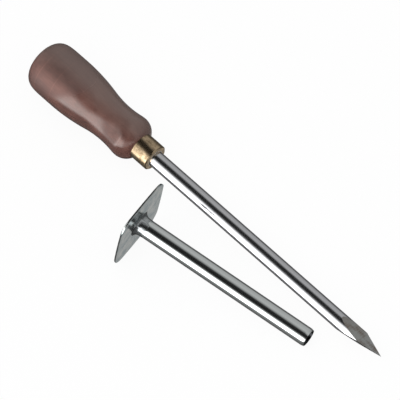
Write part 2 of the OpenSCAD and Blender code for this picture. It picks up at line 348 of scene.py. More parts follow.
def handle_tree():
    """Turns the handle from its sizes: butt, belly, waist, swelling, shoulder, tenon and the tang's hole"""
    names = ["Length", "Belly Radius", "Belly Distance", "Butt Power", "Waist Radius", "Waist Distance",
             "Belly Share", "Neck Radius", "Neck Distance", "Neck Share", "Shoulder Radius",
             "Shoulder Angle", "Ferrule Radius", "Tenon Radius", "Tenon Length", "Hole Radius", "Hole Length"]
    tree, put = shape_tree("turned_handle", [(label, "NodeSocketFloat") for label in names]
                           + [("Steps", "NodeSocketInt"), ("Sides", "NodeSocketInt"),
                              ("Material", "NodeSocketMaterial")])
    slope = slope_group()
    curves = 4.0
    corners = 6.0
    curved = add(tree, MATH, (put["Steps"], curves), operation="MULTIPLY")
    tenon_end = add(tree, MATH, (put["Length"], put["Tenon Length"]), operation="ADD")
    hole_end = add(tree, MATH, (tenon_end, put["Hole Length"]), operation="SUBTRACT")

    def butt(part):
        """Rounded like a squarish ellipse"""
        turn = add(tree, MATH, (part, math.pi / 2), operation="MULTIPLY")
        ahead = add(tree, MATH, (turn,), operation="COSINE")
        behind = add(tree, MATH, (1.0, ahead), operation="SUBTRACT")
        power = add(tree, MATH, (ahead, put["Butt Power"]), operation="POWER")
        rest = add(tree, MATH, (1.0, power), operation="SUBTRACT")
        root = add(tree, MATH, (rest,), operation="SQRT")
        return (add(tree, MATH, (put["Belly Distance"], behind), operation="MULTIPLY"),
                add(tree, MATH, (put["Belly Radius"], root), operation="MULTIPLY"))

    def side(part, start, end, share_of):
        """A slope of two arcs between two named places"""
        ends = {f"{when} {what}": put[f"{place} {what}"] for when, place in (("Start", start), ("End", end))
                for what in ("Distance", "Radius")}
        node = add(tree, "GeometryNodeGroup", {"Part": part, "Share": put[share_of], **ends},
                   node_tree=slope)
        return node.outputs["Distance"], node.outputs["Radius"]

    def shoulder(part):
        """An arc from the swelling down to the ferrule"""
        turn = add(tree, MATH, (part, put["Shoulder Angle"]), operation="MULTIPLY")
        sine = add(tree, MATH, (turn,), operation="SINE")
        cosine = add(tree, MATH, (turn,), operation="COSINE")
        behind = add(tree, MATH, (1.0, cosine), operation="SUBTRACT")
        fall = add(tree, MATH, (put["Shoulder Radius"], behind), operation="MULTIPLY")
        ahead = (put["Shoulder Radius"], sine, put["Neck Distance"])
        return (add(tree, MATH, ahead, operation="MULTIPLY_ADD"),
                add(tree, MATH, (put["Neck Radius"], fall), operation="SUBTRACT"))

    def station(number):
        along = add(tree, MATH, (number, put["Steps"]), operation="DIVIDE")
        # Keeps a station that falls on a joint from slipping back over it
        nudge = 1e-4
        sure = add(tree, MATH, (along, nudge), operation="ADD")
        part = add(tree, MATH, (sure,), operation="FRACT")
        rows = [
            butt(part),
            side(part, "Belly", "Waist", "Belly Share"),
            side(part, "Waist", "Neck", "Neck Share"),
            shoulder(part),
            (put["Length"], put["Ferrule Radius"]), (put["Length"], put["Tenon Radius"]),
            (tenon_end, put["Tenon Radius"]), (tenon_end, put["Hole Radius"]),
            (hole_end, put["Hole Radius"]), (hole_end, 0.0),
        ]
        # The curves take the first stations, and each corner after them takes one
        curve = add(tree, MATH, (sure,), operation="FLOOR")
        capped = add(tree, MATH, (curve, curves), operation="MINIMUM")
        past = add(tree, MATH, (number, curved), operation="SUBTRACT")
        corner = add(tree, MATH, (past, curves), operation="ADD")
        row = add(tree, MATH, (capped, corner), operation="MAXIMUM")
        picks = []
        for column in (0, 1):
            pick = add(tree, "GeometryNodeIndexSwitch", {"Index": row}, data_type="FLOAT")
            while len(pick.index_switch_items) < len(rows):
                pick.index_switch_items.new()
            for i, values in enumerate(rows):
                value = values[column]
                if isinstance(value, float):
                    pick.inputs[i + 1].default_value = value
                else:
                    tree.links.new(value if isinstance(value, bpy.types.NodeSocket) else value.outputs[0],
                                   pick.inputs[i + 1])
            picks.append(pick)
        return picks

    rings = add(tree, MATH, (curved, corners), operation="ADD")
    end_tree(tree, revolve(tree, rings, put["Sides"], station), put["Material"])
    return tree


# ---- Meshes ----

def run_tree(name, tree, values, start=None):
    """Runs a Geometry Nodes tree once, and gives its result as a plain mesh"""
    obj = bpy.data.objects.new(name, start or bpy.data.meshes.new(name))
    bpy.context.scene.collection.objects.link(obj)
    modifier = obj.modifiers.new("shape", "NODES")
    modifier.node_group = tree
    for item in tree.interface.items_tree:
        if item.item_type == "SOCKET" and item.in_out == "INPUT" and item.name in values:
            modifier[item.identifier] = values[item.name]
    graph = bpy.context.evaluated_depsgraph_get()
    mesh = bpy.data.meshes.new_from_object(obj.evaluated_get(graph), depsgraph=graph)
    bpy.data.objects.remove(obj)
    if not mesh.polygons:
        raise RuntimeError(f"the shape of {name} came out empty")
    mesh.polygons.foreach_set("material_index", [0] * len(mesh.polygons))
    return mesh


def line_mesh(name, points):
    """A mesh of points in a row"""
    mesh = bpy.data.meshes.new(name)
    mesh.from_pydata([(x, r, 0) for x, r in points], [(i, i + 1) for i in range(len(points) - 1)], [])
    return mesh


def softened(corners, steps=WEAR_STEPS):
    """Points of an outline whose corners (distance, radius, rounding) are rounded"""
    points = []
    for i, (x, r, rounding) in enumerate(corners):
        here = Vector((x, r))
        if not rounding:
            points.append((x, r))
            continue
        before = (Vector(corners[i - 1][:2]) - here).normalized()
        after = (Vector(corners[i + 1][:2]) - here).normalized()
        half = before.angle(after) / 2
        centre = here + (before + after).normalized() * rounding / math.sin(half)
        start = here + before * rounding / math.tan(half) - centre
        end = here + after * rounding / math.tan(half) - centre
        swing = start.angle_signed(end)
        for k in range(steps + 1):
            # angle_signed turns clockwise, as Matrix.Rotation with the sign changed does
            points.append(tuple(centre + Matrix.Rotation(-swing * k / steps, 2) @ start))
    return points


def rings_mesh(name, rings):
    """A closed skin over rings of points, each joined to the next and the last to the first"""
    mesh = bpy.data.meshes.new(name)
    count = len(rings[0])
    faces = []
    for i in range(len(rings)):
        j = (i + 1) % len(rings)
        for k in range(count):
            m = (k + 1) % count
            faces.append((i * count + k, i * count + m, j * count + m, j * count + k))
    mesh.from_pydata([tuple(p) for ring in rings for p in ring], [], faces)
    return mesh


def tidy(mesh, place):
    """Closes a mesh, turns its faces outwards, marks its crisp edges and puts it in its place"""
    bm = bmesh.new()
    bm.from_mesh(mesh)
    bmesh.ops.remove_doubles(bm, verts=bm.verts, dist=SAME_POINT)
    bmesh.ops.dissolve_degenerate(bm, edges=bm.edges, dist=NO_EDGE)
    bmesh.ops.recalc_face_normals(bm, faces=bm.faces)
    open_edges = sum(1 for e in bm.edges if len(e.link_faces) != 2)
    if open_edges:
        raise RuntimeError(f"{mesh.name} has {open_edges} edges that aren't closed")
    bm.to_mesh(mesh)
    bm.free()
    mesh.transform(place)
    mesh.shade_smooth()
    mesh.set_sharp_from_angle(angle=CRISP)
    return mesh


def place_piece(name, mesh, body, node, finishes):
    """Makes a piece from its finished mesh, on its body and in place of its node"""
    parts = [face.material_index for face in mesh.polygons]
    mesh.materials.clear()
    for finish in finishes:
        mesh.materials.append(finish)
    mesh.polygons.foreach_set("material_index", parts)
    obj = bpy.data.objects.new(name, mesh)
    bpy.context.scene.collection.objects.link(obj)
    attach(obj, body)
    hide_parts(node)
    return obj


# ---- Finishes ----

def new_finish(name, place):
    """A material, its tree, and millimetres of the piece's own place to draw its pattern on"""
    finish = bpy.data.materials.new(name)
    finish.use_nodes = True
    tree = finish.node_tree
    tree.nodes.clear()
    spot = add(tree, "ShaderNodeMapping", {
        "Vector": add(tree, "ShaderNodeTexCoord").outputs["Object"], "Location": place.to_translation(),
        "Rotation": place.to_euler(), "Scale": (MM, MM, MM)}, vector_type="TEXTURE")
    return finish, tree, spot


def end_finish(tree, values):
    """Closes a material with its shader"""
    shader = add(tree, "ShaderNodeBsdfPrincipled", values)
    add(tree, "ShaderNodeOutputMaterial", {"Surface": shader})


def marks(tree, spot, along, across, detail, roughness=0.5):
    """Uneven marks, so many millimetres long along the piece and so many wide round it"""
    scaled = add(tree, VECTOR, (spot, (1 / along, 1 / across, 1 / across)), operation="MULTIPLY")
    return add(tree, NOISE, {"Vector": scaled, "Scale": 1.0, "Detail": detail, "Roughness": roughness})


def turned_wood(place):
    """Oiled hardwood, turned and much handled: a satin red-brown, mottled, with a painted grey reflection on
    its far side and top.

    All lengths here are millimetres in the trocar's place, where X = 0 is the ferrule's end."""
    look = bpy.context.scene.trocar_finishes
    finish, tree, spot = new_finish("turned_oiled_hardwood", place)
    # Slow drift of the grain, which bends the growth rings
    drift = marks(tree, spot, 70, 16, detail=3)
    # Growth rings 3.4 mm apart round a pith that lies 46 mm from the handle's axis and nearly along it
    pith, lean_out, ring_width, bend = (0, 34, -31), 0.05, 3.4, 9.0
    off = add(tree, VECTOR, (spot, pith), operation="SUBTRACT")
    flat = add(tree, VECTOR, (off, (lean_out, 1, 1)), operation="MULTIPLY")
    depth = add(tree, VECTOR, (flat,), operation="LENGTH")
    bent = add(tree, MATH, (drift, bend, depth.outputs["Value"]), operation="MULTIPLY_ADD")
    count = add(tree, MATH, (bent, ring_width), operation="DIVIDE")
    ring = add(tree, MATH, (count,), operation="FRACT")
    # Each ring darkens slowly and ends sharply
    late = add(tree, RANGE, (ring, 0.4, 0.9, 0.0, 1.0), interpolation_type="SMOOTHSTEP")
    early = add(tree, RANGE, (ring, 0.9, 1.0, 1.0, 0.0), interpolation_type="SMOOTHSTEP")
    rings = add(tree, MATH, (late, early), operation="MULTIPLY")
    # Bundles of fibres about 1.2 mm wide and 30 mm long
    fibre = marks(tree, spot, 30, 1.2, detail=5, roughness=0.62)
    # Open pores, 0.3 mm wide and 5 mm long
    pores = marks(tree, spot, 5, 0.3, detail=1)
    pore = add(tree, RANGE, (pores, 0.6, 0.72, 0.0, 1.0))
    # Lathe lines round the handle, 0.9 mm wide
    turning = marks(tree, spot, 0.9, 60, detail=2)
    lathe = add(tree, RANGE, (turning, 0.62, 0.74, 0.0, 1.0))
    # Rubbed and stained patches the size of a thumb
    patch = marks(tree, spot, 19, 13, detail=3, roughness=0.55)
    # Two faint rings left by the polish, 12 and 25 mm from the butt and 0.7 mm wide
    near_butt, near_belly, half_width = -90.5, -77.5, 0.35
    apart = add(tree, APART, (spot,)).outputs
    rim_1 = add(tree, MATH, (apart["X"], near_butt, half_width), operation="COMPARE")
    rim_2 = add(tree, MATH, (apart["X"], near_belly, half_width), operation="COMPARE")
    rim = add(tree, MATH, (rim_1, rim_2), operation="ADD")
    # How much each of these lightens or darkens the wood
    tone = add(tree, MATH, (patch, 0.6), operation="MULTIPLY")
    for mark, strength in ((fibre, 0.3), (rings, -0.06), (pore, -0.07), (lathe, 0.05), (rim, 0.09)):
        tone = add(tree, MATH, (mark, strength, tone), operation="MULTIPLY_ADD")
    # Rubbed smooth by the palm, and duller towards the butt, past a border that slants over the side. There
    # the lower side also gets painted shade, darker towards the bottom
    slant_of_border, all_dull, all_smooth = -1.18, -85.0, -74.5
    palm = add(tree, MATH, (apart["Z"], slant_of_border, apart["X"]), operation="MULTIPLY_ADD")
    dull = add(tree, RANGE, (palm, all_dull, all_smooth, 1.0, 0.0), interpolation_type="SMOOTHSTEP")
    # Painted shade: the lower side of the dull part is darkened
    below = add(tree, RANGE, (apart["Z"], 2.0, 12.0, -0.2, 0.0), interpolation_type="SMOOTHSTEP")
    tone = add(tree, MATH, (dull, below, tone), operation="MULTIPLY_ADD")
    wood = add(tree, RAMP, (tone,), stops=[
        (0.26, look.wood_dark), (0.43, look.wood_mid), (0.66, look.wood_light)])
    # The far side and the top get a painted grey reflection, with a border that the patches make ragged
    raggedness = 16.0
    far = add(tree, MATH, (apart["Z"], 0.6, apart["Y"]), operation="MULTIPLY_ADD")
    far = add(tree, MATH, (patch, raggedness, far), operation="MULTIPLY_ADD")
    greyed = add(tree, RANGE, (far, 2.0, 22.0, 0.0, 0.8), interpolation_type="SMOOTHSTEP")
    shade = add(tree, "ShaderNodeMix", {"Factor": greyed, 6: wood, 7: look.wood_painted_reflection}, data_type="RGBA")
    worn = add(tree, RANGE, (patch, 0.3, 0.7, 0.16, 0.24))
    rough = add(tree, MATH, (dull, 0.3, worn), operation="MULTIPLY_ADD")
    # Pores 0.02 mm deep between fibres that stand up to 0.04 mm proud
    hollow = add(tree, MATH, (pore, -0.5, fibre), operation="MULTIPLY_ADD")
    bump = add(tree, BUMP, {"Strength": 0.2, "Distance": 0.04 * MM, "Height": hollow})
    # A film of dried oil lies over the wood, and what the wood itself mirrors is a little warm
    end_finish(tree, {"Base Color": shade.outputs[2], "Roughness": rough, "Normal": bump, "IOR": 1.42,
                      "Specular Tint": linear("#ffe4d6"), "Coat Weight": 1.0, "Coat Roughness": rough,
                      "Coat IOR": 1.5, "Coat Normal": bump})
    return finish


def polished_brass(place):
    """Turned brass, polished and handled: warm mirror bands with dull tarnish and fine lines round it"""
    look = bpy.context.scene.trocar_finishes
    finish, tree, spot = new_finish("polished_brass", place)
    # Tarnish in patches of about 3 mm
    patch = marks(tree, spot, 3.4, 2.6, detail=4, roughness=0.6)
    # Lines left by turning, 0.16 mm apart
    lines = marks(tree, spot, 0.16, 40, detail=2)
    shade = add(tree, RAMP, (patch,), stops=[(0.36, look.brass_dull), (0.62, look.brass_bright)])
    rough = add(tree, RANGE, (patch, 0.35, 0.65, 0.27, 0.15))
    dents = add(tree, MATH, (lines, 0.25, patch), operation="MULTIPLY_ADD")
    bump = add(tree, BUMP, {"Strength": 0.5, "Distance": 0.06 * MM, "Height": dents})
    end_finish(tree, {"Base Color": shade, "Roughness": rough, "Normal": bump, "Metallic": 1.0})
    return finish


def bright_metal(name, place, clean, dull, low, high, wave, scratch, smear_size, inside=None):
    """A bright metal surface, whose smears dull the light and whose slow waves bend it.

    low and high are its roughness where it is clean and where it is dull. wave, scratch and smear_size are
    the height of the waves, the depth of the scratches and the length of the smears, in millimetres.
    inside is the radius and the painted dark colour of a bore: painted shade inside it."""
    finish, tree, spot = new_finish(name, place)
    # Smears of handling, three times as long as they are wide
    smear = marks(tree, spot, smear_size, smear_size / 3, detail=4, roughness=0.65)
    # Slow waves in the surface, about 30 mm long
    waves = marks(tree, spot, 30, 14, detail=1)
    # Scratches along the piece, 0.12 mm wide
    lines = marks(tree, spot, 12, 0.12, detail=2)
    shade = add(tree, RAMP, (smear,), stops=[(0.34, dull), (0.62, clean)])
    # Painted shade: inside the bore's radius the colour is painted dark
    if inside:
        flat = add(tree, VECTOR, (spot, (0.0, 1.0, 1.0)), operation="MULTIPLY")
        radius = add(tree, VECTOR, (flat,), operation="LENGTH").outputs["Value"]
        in_painted_dark_bore = add(tree, MATH, (radius, inside[0] / MM), operation="LESS_THAN")
        shade = add(tree, "ShaderNodeMix", {"Factor": in_painted_dark_bore, 6: shade, 7: inside[1]}, data_type="RGBA")
        shade = shade.outputs[2]
    rough = add(tree, RANGE, (smear, 0.3, 0.7, high, low))
    swell = add(tree, MATH, (waves, wave), operation="MULTIPLY")
    height = add(tree, MATH, (lines, scratch, swell), operation="MULTIPLY_ADD")
    bump = add(tree, BUMP, {"Strength": 1.0, "Distance": MM, "Height": height})
    end_finish(tree, {"Base Color": shade, "Roughness": rough, "Normal": bump, "Metallic": 1.0})
    return finish


def ground_steel(place, facet_start):
    """Steel ground on a stone: greyer and duller than the polished rod, stained where the facets begin"""
    look = bpy.context.scene.trocar_finishes
    finish, tree, spot = new_finish("ground_steel", place)
    # Grinding lines across the facets. The real ones are 0.1 mm wide, and show here at 0.7 mm
    lines = marks(tree, spot, 0.7, 9, detail=3, roughness=0.6)
    smear = marks(tree, spot, 9, 4, detail=3)
    tone = add(tree, MATH, (lines, 0.45, smear), operation="MULTIPLY_ADD")
    steel = add(tree, RAMP, (tone,), stops=[(0.5, look.steel_stain), (0.74, look.steel_ground)])
    # The stain fades out over 16 mm, with a ragged border
    full, gone = facet_start / MM + 2, facet_start / MM + 18
    along = add(tree, APART, (spot,)).outputs["X"]
    ragged = add(tree, MATH, (smear, 12.0, along), operation="MULTIPLY_ADD")
    stain = add(tree, RANGE, (ragged, full, gone, 0.8, 0.0))
    shade = add(tree, "ShaderNodeMix", {"Factor": stain, 6: steel, 7: look.steel_stain}, data_type="RGBA")
    rough = add(tree, RANGE, (smear, 0.3, 0.7, 0.34, 0.26))
    bump = add(tree, BUMP, {"Strength": 0.6, "Distance": 0.02 * MM, "Height": lines})
    end_finish(tree, {"Base Color": shade.outputs[2], "Roughness": rough, "Normal": bump, "Metallic": 1.0})
    return finish


# ---- Trocar ----

class TROCAR_OT_handle(bpy.types.Operator):
    """Turn the wooden handle"""
    bl_idname = "trocar.handle"
    bl_label = "Wooden handle"

    def execute(self, context):
        s = context.scene.trocar_sizes
        place = trocar_place()
        wood = turned_wood(place)
        neck_radius = s.neck_diameter / 2
        ferrule_radius = s.ferrule_diameter / 2
        turn = math.acos(1 - (neck_radius - ferrule_radius) / s.shoulder_radius)
        hole = s.tang_length + s.tang_lead / 2
        mesh = run_tree("handle_turned", handle_tree(), {
            "Length": s.handle_length,
            "Belly Radius": s.belly_diameter / 2, "Belly Distance": s.belly_distance,
            "Butt Power": s.butt_power,
            "Waist Radius": s.waist_diameter / 2, "Waist Distance": s.waist_distance,
            "Belly Share": s.belly_share,
            "Neck Radius": neck_radius,
            "Neck Distance": s.handle_length - s.shoulder_radius * math.sin(turn),
            "Neck Share": s.neck_share,
            "Shoulder Radius": s.shoulder_radius, "Shoulder Angle": turn,
            "Ferrule Radius": ferrule_radius,
            "Tenon Radius": ferrule_radius - s.ferrule_wall - s.seat_clearance,
            "Tenon Length": s.ferrule_length - s.ferrule_end,
            "Hole Radius": s.tang_diameter / 2 + s.seat_clearance, "Hole Length": hole,
            "Steps": STEPS, "Sides": SIDES, "Material": wood})
        butt = Matrix.Translation((-s.handle_length - s.ferrule_length, 0, 0))
        place_piece("handle_turned", tidy(mesh, place @ butt), "trocar", "handle", [wood])
        return {"FINISHED"}


class TROCAR_OT_ferrule(bpy.types.Operator):
    """Turn the brass ferrule"""
    bl_idname = "trocar.ferrule"
    bl_label = "Brass ferrule"

    def execute(self, context):
        s = context.scene.trocar_sizes
        place = trocar_place()
        brass = polished_brass(place)
        outer = s.ferrule_diameter / 2
        cup = outer - s.ferrule_wall
        hole = s.rod_diameter / 2 + s.collar_step + s.seat_clearance
        worn = 0.15 * MM
        outline = softened([
            (-s.ferrule_length, cup, 0), (-s.ferrule_length, outer, worn), (-s.ferrule_bevel, outer, worn),
            (0, outer - s.ferrule_bevel, worn), (0, hole, 0), (-s.ferrule_end, hole, 0),
            (-s.ferrule_end, cup, 0), (-s.ferrule_length, cup, 0)])
        mesh = run_tree("ferrule_turned", outline_tree(), {"Sides": SIDES, "Material": brass},
                        line_mesh("ferrule_outline", outline))
        place_piece("ferrule_turned", tidy(mesh, place), "trocar", "ferrule", [brass])
        return {"FINISHED"}


def grind_facets(bm, length, radius, facet, point_turn, count=3):
    """Grinds flat facets on the point, evenly round it, and gives their faces"""
    slope = math.atan2(radius, facet)
    tip = Vector((length, 0, 0))
    outs = []
    for k in range(count):
        out = Vector((math.sin(slope), 0, math.cos(slope)))
        out.rotate(Matrix.Rotation(math.radians(360 / count * k) - point_turn, 3, "X"))
        outs.append(out)
        cut = bmesh.ops.bisect_plane(bm, geom=bm.verts[:] + bm.edges[:] + bm.faces[:], dist=NO_EDGE,
                                     plane_co=tip, plane_no=out, clear_outer=True)
        rim = [e for e in cut["geom_cut"] if isinstance(e, bmesh.types.BMEdge)]
        bmesh.ops.holes_fill(bm, edges=rim, sides=0)

    def ground(face):
        return any(all(abs((v.co - tip).dot(out)) < CLOSE for v in face.verts) for out in outs)

    return [face for face in bm.faces if ground(face)]


class TROCAR_OT_rod(bpy.types.Operator):
    """Make the steel rod and grind its three-sided point"""
    bl_idname = "trocar.rod"
    bl_label = "Pointed rod"

    def execute(self, context):
        s = context.scene.trocar_sizes
        look = context.scene.trocar_finishes
        place = trocar_place()
        steel = bright_metal("polished_steel", place, look.steel, look.steel,
                             low=0.11, high=0.17, wave=0.02, scratch=0.0006, smear_size=3)
        ground = ground_steel(place, s.rod_length - s.facet_length)
        rod, tang = s.rod_diameter / 2, s.tang_diameter / 2
        tang_end = -s.ferrule_end - s.tang_length
        # Rings along the rod, for even faces
        stations = 24
        outline = [(tang_end, 0), (tang_end, s.tang_flats / 2), (tang_end + s.tang_lead, tang),
                   (-s.ferrule_end, tang), (-s.ferrule_end, rod + s.collar_step), (0, rod + s.collar_step)]
        outline += [(s.rod_length * i / stations, rod) for i in range(stations + 1)] + [(s.rod_length, 0)]
        mesh = run_tree("rod_ground", outline_tree(), {"Sides": SIDES, "Material": steel},
                        line_mesh("rod_outline", outline))
        bm = bmesh.new()
        bm.from_mesh(mesh)
        bmesh.ops.remove_doubles(bm, verts=bm.verts, dist=SAME_POINT)
        # The two flats of the tang
        for v in bm.verts:
            if v.co.x < -s.ferrule_end - CLOSE:
                v.co.z = max(-s.tang_flats / 2, min(s.tang_flats / 2, v.co.z))
        for face in grind_facets(bm, s.rod_length, rod, s.facet_length, s.point_turn):
            face.material_index = 1
        for face in bm.faces:
            face.smooth = face.material_index == 0
        bm.to_mesh(mesh)
        bm.free()
        mesh = tidy(mesh, place)
        # The facets stay flat, with a crisp line all round them
        for face in mesh.polygons:
            face.use_smooth = face.material_index == 0
        rod_piece = place_piece("rod_ground", mesh, "trocar", "trocar_rod", [steel, ground])
        # The tube lies so near that it would mirror the rod all along
        rod_piece.visible_glossy = False
        return {"FINISHED"}


# ---- Cannula ----

class CANNULA_OT_tube(bpy.types.Operator):
    """Draw the plated tube, with its far end drawn in"""
    bl_idname = "trocar.cannula_tube"
    bl_label = "Cannula tube"

    def execute(self, context):
        s = context.scene.cannula_sizes
        look = context.scene.trocar_finishes
        place = cannula_place()
        bore = s.bore_diameter / 2
        # Inside this radius, which takes in the lip at the far end, the colour is painted dark: painted shade
        # in the bore and a painted dark reflection on the lip
        bare = bore + s.end_lip + 0.05 * MM
        plating = bright_metal("bright_plated_tube", place, look.plating, look.plating, low=0.05, high=0.1,
                               wave=0.03, scratch=0.0004, smear_size=3, inside=(bare, look.bore))
        outer = bore + s.tube_wall
        drop = s.tube_wall - s.end_lip
        arc = (s.end_draw ** 2 + drop ** 2) / (2 * drop)
        steps = 10
        turns = [math.asin(s.end_draw / arc) * i / steps for i in range(steps + 1)]
        start = s.tube_length - s.end_draw
        end = [(start + arc * math.sin(a), outer - arc * (1 - math.cos(a)), 0) for a in turns]
        worn = 0.08 * MM
        mouth = (s.mouth_bevel, bore, 0)
        outline = softened([mouth, (0, bore + s.mouth_bevel, worn), (0, outer, worn), *end,
                            (s.tube_length, bore, 0), mouth])
        mesh = run_tree("tube_drawn", outline_tree(), {"Sides": SIDES, "Material": plating},
                        line_mesh("tube_outline", outline))
        mesh = tidy(mesh, place)
        tube = place_piece("tube_drawn", mesh, "cannula", "cannula_tube", [plating])
        # The rod lies so near that it would mirror the tube all along
        tube.visible_glossy = False
        return {"FINISHED"}


def plate_outline(s):
    """Points and outward directions round the plate: bowed sides and round corners, as (Y, Z)"""
    half_w, half_h = s.plate_width / 2, s.plate_height / 2
    side_r = (half_h ** 2 + s.plate_bulge ** 2) / (2 * s.plate_bulge)
    top_r = (half_w ** 2 + s.plate_bulge ** 2) / (2 * s.plate_bulge)
    side_c, top_c = Vector((half_w - side_r, 0)), Vector((0, half_h - top_r))
    # Middle of the corner, at its radius inside both sides
    r1, r2 = side_r - s.plate_corner, top_r - s.plate_corner
    way = top_c - side_c
    gap = way.length
    way = way / gap
    along = (r1 ** 2 - r2 ** 2 + gap ** 2) / (2 * gap)
    off = math.sqrt(r1 ** 2 - along ** 2)
    centres = [side_c + along * way + turn * off * Vector((-way.y, way.x)) for turn in (1, -1)]
    corner = max(centres, key=lambda c: c.x + c.y)
    a1 = math.atan2(corner.y - side_c.y, corner.x - side_c.x)
    a2 = math.atan2(corner.y - top_c.y, corner.x - top_c.x)
    quarter = []
    arcs = ((side_c, side_r, 0, a1, 10), (corner, s.plate_corner, a1, a2, 20),
            (top_c, top_r, a2, math.pi / 2, 10))
    for centre, r, start, end, steps in arcs:
        for i in range(steps):
            a = start + (end - start) * i / steps
            out = Vector((math.cos(a), math.sin(a)))
            quarter.append((centre + r * out, out))
    quarter.append((Vector((0, half_h)), Vector((0, 1))))
    whole = []
    for flip_y, flip_z, back in ((1, 1, False), (-1, 1, True), (-1, -1, False), (1, -1, True)):
        part = quarter[::-1] if back else quarter
        whole += [(Vector((p.x * flip_y, p.y * flip_z)), Vector((o.x * flip_y, o.y * flip_z)))
                  for p, o in part[:-1]]
    return whole


class CANNULA_OT_plate(bpy.types.Operator):
    """Cut the plate, with round corners and softened edges"""
    bl_idname = "trocar.cannula_plate"
    bl_label = "Cannula plate"

    def execute(self, context):
        s = context.scene.cannula_sizes
        look = context.scene.trocar_finishes
        place = cannula_place()
        satin = bright_metal("satin_plated_plate", place, look.plating_satin, look.plating_worn,
                             low=0.12, high=0.24, wave=0.05, scratch=0.0008, smear_size=24)
        hole = s.bore_diameter / 2 + s.tube_wall + SOLDER_GAP
        outline = plate_outline(s)
        # Rings over each face, and steps round each edge
        face_rings, edge_steps = 6, 8
        # The outer edge is rounded over along the sides, and only a quarter as much at the corners
        rolls = [0.25 + 0.75 * abs(out.x ** 2 - out.y ** 2) for _, out in outline]

        def face_ring(x, part, depths):
            """Ring that lies between the hole and the edge of a face"""
            rims = [point - out * depth for (point, out), depth in zip(outline, depths)]
            return [(x, *(rim.normalized() * hole).lerp(rim, part)) for rim in rims]

        # The edge leans inwards a little from the start
        draft = 0.15 * s.plate_roll
        insets = [s.plate_roll_in * roll for roll in rolls]
        outer = [inset + draft * roll for inset, roll in zip(insets, rolls)]
        inner = [s.plate_edge] * len(outline)
        rings = [face_ring(0, i / face_rings, outer) for i in range(face_rings)]
        for i in range(edge_steps + 1):
            a = math.pi / 2 * i / edge_steps
            rings.append([(s.plate_roll * roll * (1 - math.cos(a)),
                           *(point - out * (inset * (1 - math.sin(a)) + draft * roll * math.cos(a))))
                          for (point, out), roll, inset in zip(outline, rolls, insets)])
        for i in range(edge_steps + 1):
            a = math.pi / 2 * i / edge_steps
            x = s.plate_thickness - s.plate_edge * (1 - math.sin(a))
            rings.append([(x, *(point - out * s.plate_edge * (1 - math.cos(a)))) for point, out in outline])
        rings += [face_ring(s.plate_thickness, 1 - (i + 1) / face_rings, inner) for i in range(face_rings)]
        mesh = rings_mesh("plate_cut", rings)
        mesh = tidy(mesh, place)
        plate = place_piece("plate_cut", mesh, "cannula", "cannula_flange", [satin])
        # The rod lies so near that it would mirror the plate
        plate.visible_glossy = False
        return {"FINISHED"}


# Lumps of solder: angle round the tube, radius and height as shares of the reach, and share of the run
SOLDER_LUMPS = ((12, 0.35, 0.5, 0.02), (74, 0.48, 0.42, 0.04), (128, 0.38, 0.6, 0),
                (196, 0.45, 0.4, 0.03), (248, 0.33, 0.66, 0), (305, 0.52, 0.3, 0.1))
# Waves on the solder: height in millimetres, number along it, fineness round it and place in the noise
SOLDER_WAVES = ((0.2, 2, 2.4, 5), (0.04, 4, 6, 12))


def uneven(way, along, fineness, seed):
    """Smooth unevenness from -1 to 1 round the tube and along it"""
    spot = Vector((way.x * fineness, way.y * fineness, along + seed))
    return noise.noise(spot, noise_basis="PERLIN_ORIGINAL")


class CANNULA_OT_solder(bpy.types.Operator):
    """Run the uneven solder round the tube, against the plate"""
    bl_idname = "trocar.cannula_solder"
    bl_label = "Solder"

    def execute(self, context):
        s = context.scene.cannula_sizes
        look = context.scene.trocar_finishes
        place = cannula_place()
        tin = bright_metal("run_solder", place, look.solder, look.solder_dull,
                           low=0.16, high=0.28, wave=0.06, scratch=0.0006, smear_size=4)
        inner = s.bore_diameter / 2 + s.tube_wall + SOLDER_GAP
        # Points round the tube, and rings along it
        around, steps = 216, 26
        # Lumps show at this share of their own radius, and stand at this share of their own height
        lump_size, lump_height = 0.6, 0.4
        rings = [[] for _ in range(steps + 3)]
        for k in range(around):
            a = 2 * math.pi * k / around
            way = Vector((math.cos(a), math.sin(a)))
            # It reaches and runs unevenly, and on average a fifth short of its sizes
            reach = s.solder_reach * (0.8 + 0.35 * uneven(way, 0, fineness=1.6, seed=3))
            run = s.solder_run * (0.8 + 0.4 * uneven(way, 0, fineness=1.9, seed=8))
            for i in range(steps + 1):
                part = i / steps
                slope = (reach - s.solder_lip) * (1 - part) ** s.solder_power
                # The waves are highest near the plate and die out along the tube
                waves = sum(height * uneven(way, number * part, fineness, seed)
                            for height, number, fineness, seed in SOLDER_WAVES) * MM
                swell = waves * math.sin(math.pi * min(1, 0.15 + 1.2 * part)) * (1 - 0.5 * part)
                lip = s.solder_lip * (1 - 0.6 * part)
                for turned, ball, height, ahead in SOLDER_LUMPS:
                    aside = math.sin(a - math.radians(turned)) * (inner + height * s.solder_reach)
                    left = (lump_size * ball * s.solder_reach) ** 2 - aside ** 2 - ((part - ahead) * run) ** 2
                    if left > 0 and math.cos(a - math.radians(turned)) > 0:
                        slope = max(slope, lump_height * height * s.solder_reach + math.sqrt(left))
                r = inner + lip + max(0, slope + swell)
                rings[i].append((s.plate_thickness + run * part, r * way.x, r * way.y))
            rings[steps + 1].append((s.plate_thickness + run, inner * way.x, inner * way.y))
            rings[steps + 2].append((s.plate_thickness, inner * way.x, inner * way.y))
        mesh = rings_mesh("solder_run", rings)
        place_piece("solder_run", tidy(mesh, place), "cannula", "solder_fillet", [tin])
        return {"FINISHED"}


# ---- Studio ----

# Tent seen in reflections: levels of 0 to 255 at leans in degrees, where 0 is overhead, 90 the near side,
# -90 the far side, and 180 below
TENT = (
    (-180, 40), (-166, 45), (-157, 142), (-146, 155), (-134, 80), (-100, 72), (-88, 95), (-78, 137),
    (-36, 151), (-24, 128), (-12, 37), (0, 24), (14, 24), (26, 46), (36, 110), (44, 190), (56, 255),
    (109, 255), (121, 120), (150, 84), (180, 75),
)


